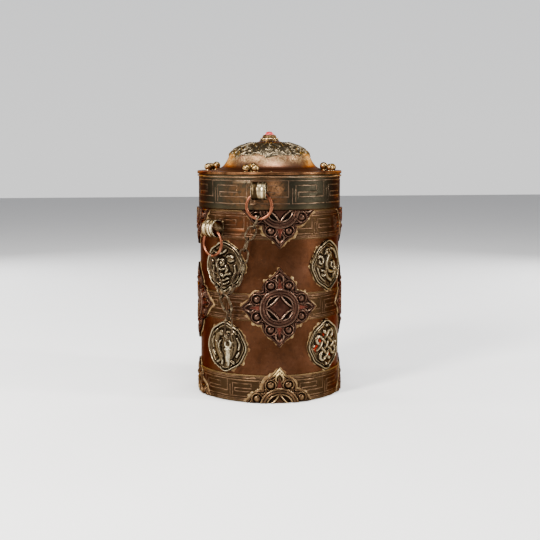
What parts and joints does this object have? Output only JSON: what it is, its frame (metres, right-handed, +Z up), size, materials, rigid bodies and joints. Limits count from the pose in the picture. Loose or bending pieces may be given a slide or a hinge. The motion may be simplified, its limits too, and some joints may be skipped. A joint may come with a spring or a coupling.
{
  "type": "prayer wheel",
  "caption": "Copper prayer wheel drum on a hidden foot and spindle, with a lift-off domed lid, lobed plaques, symbol medallions and a chained latch pin.",
  "frame": {"origin": "on the spindle's axis at the foot's underside, the mouth of the spindle socket", "axes": "+Z up along the spindle, -Y towards the drum's front plaque, +X to the right of the front"},
  "size_m": [0.1096, 0.1197, 0.1945],
  "materials": {
    "copper_wall": "aged satin copper",
    "brass_band": "engraved, aged brass",
    "lid_band_brass": "engraved, dark olive patina",
    "plaque_copper": "oxidised repousse copper",
    "white_metal": "cast white metal with dark recesses",
    "loop_strap": "worn nickel brass",
    "ring_copper": "bare copper wire",
    "chain_metal": "dark iron wire",
    "pin_metal": "worn white metal",
    "dome_copper": "pinkish bronze with gold patina",
    "collar_bronze": "dark repousse bronze",
    "bead_brass": "polished brass",
    "bezel_bronze": "dark bronze",
    "coral": "polished red coral",
    "fitting_brass": "turned brass",
    "foot_metal": "turned brass",
    "spindle_steel": "drawn steel rod",
    "core_wood": "turned hardwood",
    "scroll_paper": "rolled paper",
    "wrapper_silk": "silk cloth",
    "tie_cord": "silk cord"
  },
  "bodies": {
    "stand": {"foot": "foot_metal", "spindle": "spindle_steel", "thrust_washer": "fitting_brass", "spindle_nut": "fitting_brass"},
    "drum": {"drum_wall": "copper_wall", "base_plate": "copper_wall", "lower_bush": "fitting_brass", "neck_collar": "copper_wall", "bridge_bar": "fitting_brass", "upper_bush": "fitting_brass", "bottom_band": "brass_band", "middle_band": "brass_band", "top_band": "brass_band", "plaques_middle": "plaque_copper", "plaques_top": "plaque_copper", "plaques_bottom": "plaque_copper", "medallion_conch": "white_metal", "medallion_knot": "white_metal", "medallion_lotus": "white_metal", "medallion_fish": "white_metal", "medallion_parasol": "white_metal", "medallion_vase": "white_metal", "medallion_banner": "white_metal", "medallion_wheel": "white_metal", "scroll_core": "core_wood", "prayer_scroll": "scroll_paper", "scroll_wrapper": "wrapper_silk", "scroll_ties": "tie_cord", "body_loop": "loop_strap"},
    "lid": {"lid_skirt": "copper_wall", "lid_band": "lid_band_brass", "lid_wire": "ring_copper", "lid_top": "dome_copper", "dome_collar": "collar_bronze", "bead_clusters": "bead_brass", "finial_base": "bezel_bronze", "finial_ring": "bead_brass", "finial_bezel": "bezel_bronze", "coral_cabochon": "coral", "finial_stud": "fitting_brass", "finial_nut": "fitting_brass", "lid_loop": "loop_strap"},
    "lid_ring_body": {"lid_ring": "ring_copper"},
    "lid_chain_leg": {"lid_chain": "chain_metal"},
    "drum_ring_body": {"body_ring": "ring_copper"},
    "drum_chain_leg": {"body_chain": "chain_metal", "junction_link": "chain_metal"},
    "chain_tail": {"tail_links": "chain_metal"},
    "pin_body": {"latch_pin": "pin_metal"}
  },
  "joints": [
    {"name": "drum_spin", "type": "hinge", "parent": "stand", "child": "drum", "pos_m": [0, 0, 0.02], "axis": [0, 0, 1], "continuous": true},
    {"name": "lid_lift", "type": "slide", "parent": "drum", "child": "lid", "axis": [0, 0, 1], "range_m": [0, 0.06]},
    {"name": "lid_ring_swing", "type": "hinge", "parent": "lid", "child": "lid_ring_body", "pos_m": [-0.01535, -0.05728, 0.151], "axis": [-0.9659, 0.2588, 0], "range_deg": [0, 60]},
    {"name": "lid_chain_swing", "type": "hinge", "parent": "lid_ring_body", "child": "lid_chain_leg", "pos_m": [-0.01535, -0.05728, 0.1332], "axis": [-0.6735, 0.4373, -0.596], "range_deg": [0, 35]},
    {"name": "drum_ring_swing", "type": "hinge", "parent": "drum", "child": "drum_ring_body", "pos_m": [-0.04609, -0.03732, 0.1238], "axis": [-0.6293, 0.7771, 0], "range_deg": [0, 60]},
    {"name": "drum_chain_swing", "type": "hinge", "parent": "drum_ring_body", "child": "drum_chain_leg", "pos_m": [-0.04609, -0.03732, 0.106], "axis": [-0.6735, 0.4373, -0.596], "range_deg": [0, 35]},
    {"name": "tail_swing", "type": "hinge", "parent": "drum_chain_leg", "child": "chain_tail", "pos_m": [-0.03538, -0.04721, 0.06627], "axis": [-0.8002, 0.5997, 0], "range_deg": [0, 45]},
    {"name": "pin_swing", "type": "hinge", "parent": "chain_tail", "child": "pin_body", "pos_m": [-0.03649, -0.04637, 0.0455], "axis": [-0.7859, 0.6184, 0], "range_deg": [0, 60]}
  ],
  "couplings": [
    {"joint": "lid_chain_swing", "follows": "drum_chain_swing", "ratio": 1}
  ]
}
